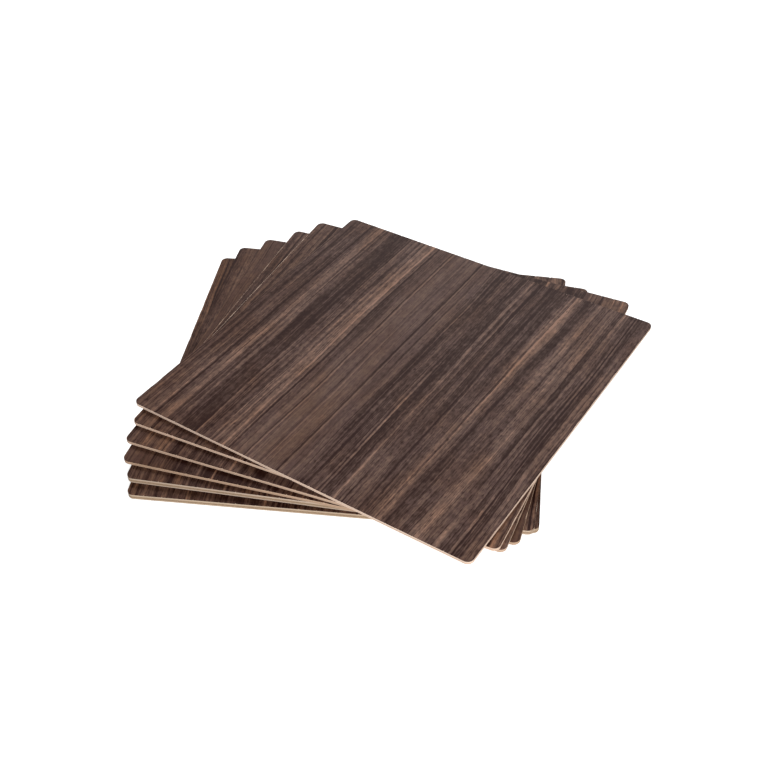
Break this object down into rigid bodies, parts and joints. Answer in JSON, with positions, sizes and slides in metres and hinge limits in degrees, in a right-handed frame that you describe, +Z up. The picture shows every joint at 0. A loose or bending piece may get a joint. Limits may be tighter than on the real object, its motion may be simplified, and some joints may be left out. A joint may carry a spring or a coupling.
{
  "type": "stack of plywood sheets",
  "caption": "Loose fanned stack of square plywood sheets with rounded corners, dark walnut veneer on top and pale plies showing at the sawn edges.",
  "frame": {"origin": "centre of the bottom sheet's underside, on the floor", "axes": "+Z up through the sheets; the bottom sheet's edges lie along X and Y, its front edge towards -Y; the veneer grain of the bottom sheet runs along Y"},
  "size_m": [0.3973, 0.3973, 0.0236],
  "materials": {
    "walnut_veneer": "satin, unfinished dark walnut veneer with straight grain",
    "outer_ply": "matt, sawn edge of pale plies",
    "cross_ply": "matt, sawn end grain of the crosswise ply"
  },
  "bodies": {
    "root": {"sheet_1_lower_ply": "outer_ply", "sheet_1_cross_ply": "cross_ply", "sheet_1_upper_ply": "outer_ply", "sheet_1_walnut_face": "walnut_veneer", "sheet_2_lower_ply": "outer_ply", "sheet_2_cross_ply": "cross_ply", "sheet_2_upper_ply": "outer_ply", "sheet_2_walnut_face": "walnut_veneer", "sheet_3_lower_ply": "outer_ply", "sheet_3_cross_ply": "cross_ply", "sheet_3_upper_ply": "outer_ply", "sheet_3_walnut_face": "walnut_veneer", "sheet_4_lower_ply": "outer_ply", "sheet_4_cross_ply": "cross_ply", "sheet_4_upper_ply": "outer_ply", "sheet_4_walnut_face": "walnut_veneer", "sheet_5_lower_ply": "outer_ply", "sheet_5_cross_ply": "cross_ply", "sheet_5_upper_ply": "outer_ply", "sheet_5_walnut_face": "walnut_veneer", "sheet_6_lower_ply": "outer_ply", "sheet_6_cross_ply": "cross_ply", "sheet_6_upper_ply": "outer_ply", "sheet_6_walnut_face": "walnut_veneer"}
  },
  "joints": []
}
